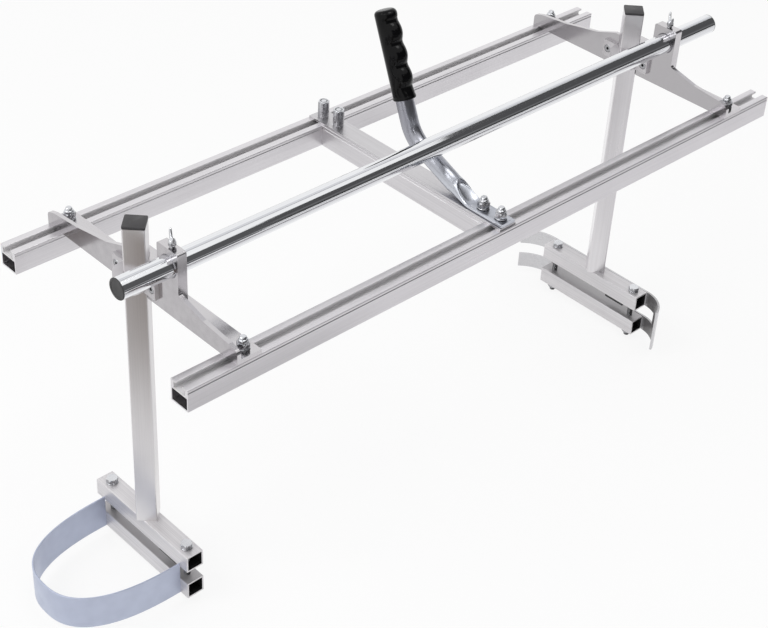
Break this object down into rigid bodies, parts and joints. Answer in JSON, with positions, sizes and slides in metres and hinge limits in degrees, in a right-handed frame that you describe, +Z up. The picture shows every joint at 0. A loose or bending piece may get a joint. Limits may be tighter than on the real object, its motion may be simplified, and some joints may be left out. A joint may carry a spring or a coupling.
{
  "type": "chainsaw mill",
  "caption": "Chainsaw mill frame: slotted rails with a pushing handle and polished push bar, and sliding end brackets that carry height posts with clamps for the saw's guide bar",
  "frame": {"origin": "Under the middle of the cross rail, on the plane of the rails' undersides, which ride on the log or guide board.", "axes": "+X runs along the rails towards the end with the bumper plate, where the saw's powerhead sits; +Y points to the rear rail, away from the handle's foot; +Z is up."},
  "size_m": [1.0467, 0.336, 0.5959],
  "materials": {
    "rail": "satin anodised extrusion",
    "bracket": "milled and lightly polished",
    "post": "satin drawn tube",
    "clamp": "satin drawn tube and plate",
    "guard": "blue-grey coated steel strip",
    "bar": "polished tube",
    "cap": "dark grey moulded plastic",
    "pad": "dark rubber",
    "handle": "bright zinc-plated tube",
    "grip": "glossy black moulded grip",
    "fastener": "bright zinc-plated"
  },
  "bodies": {
    "frame": {"rail_front": "rail", "rail_rear": "rail", "cross_rail": "rail", "tie_plate": "rail", "frame_t_bolts": "fastener", "tall_nuts": "fastener", "handle_tube": "handle", "handle_grip": "grip", "handle_washers": "fastener", "handle_nuts": "fastener"},
    "push_bar": {"push_bar": "bar", "bar_plug_left": "cap", "bar_plug_right": "cap"},
    "left_bracket": {"bracket_left": "bracket", "bracket_t_bolts_left": "fastener", "bracket_washers_left": "fastener", "bracket_nuts_left": "fastener", "post_saddle_left": "bracket", "saddle_screws_left": "fastener"},
    "left_wing_screw": {"wing_screw_left": "fastener"},
    "left_post": {"post_left": "post", "post_cap_left": "cap", "upper_clamp_left": "clamp", "clamp_bolts_left": "fastener", "clamp_lock_nuts_left": "fastener", "bar_pad_left": "pad"},
    "left_lower_clamp": {"lower_clamp_left": "clamp", "clamp_nuts_left": "fastener", "nose_guard": "guard"},
    "right_bracket": {"bracket_right": "bracket", "bracket_t_bolts_right": "fastener", "bracket_washers_right": "fastener", "bracket_nuts_right": "fastener", "post_saddle_right": "bracket", "saddle_screws_right": "fastener"},
    "right_wing_screw": {"wing_screw_right": "fastener"},
    "right_post": {"post_right": "post", "post_cap_right": "cap", "upper_clamp_right": "clamp", "clamp_bolts_right": "fastener", "clamp_lock_nuts_right": "fastener", "bar_pad_right": "pad", "bumper_plate": "clamp"},
    "right_lower_clamp": {"lower_clamp_right": "clamp", "clamp_nuts_right": "fastener"}
  },
  "joints": [
    {"name": "left_bracket_slide", "type": "slide", "parent": "frame", "child": "left_bracket", "axis": [1, 0, 0], "range_m": [-0.035, 0.335]},
    {"name": "left_depth_slide", "type": "slide", "parent": "left_bracket", "child": "left_post", "axis": [0, 0, 1], "range_m": [-0.035, 0.3]},
    {"name": "left_bar_clamp_slide", "type": "slide", "parent": "left_post", "child": "left_lower_clamp", "axis": [0, 0, 1], "range_m": [0, 0.013]},
    {"name": "left_wing_screw_turn", "type": "hinge", "parent": "left_bracket", "child": "left_wing_screw", "pos_m": [-0.394, -0.056, 0.112], "axis": [0, 0, 1], "continuous": true},
    {"name": "right_bracket_slide", "type": "slide", "parent": "frame", "child": "right_bracket", "axis": [1, 0, 0], "range_m": [-0.335, 0.055]},
    {"name": "right_depth_slide", "type": "slide", "parent": "right_bracket", "child": "right_post", "axis": [0, 0, 1], "range_m": [-0.035, 0.3]},
    {"name": "right_bar_clamp_slide", "type": "slide", "parent": "right_post", "child": "right_lower_clamp", "axis": [0, 0, 1], "range_m": [0, 0.013]},
    {"name": "right_wing_screw_turn", "type": "hinge", "parent": "right_bracket", "child": "right_wing_screw", "pos_m": [0.411, -0.056, 0.112], "axis": [0, 0, 1], "continuous": true},
    {"name": "push_bar_slide", "type": "slide", "parent": "frame", "child": "push_bar", "axis": [1, 0, 0], "range_m": [-0.025, 0.025]}
  ]
}
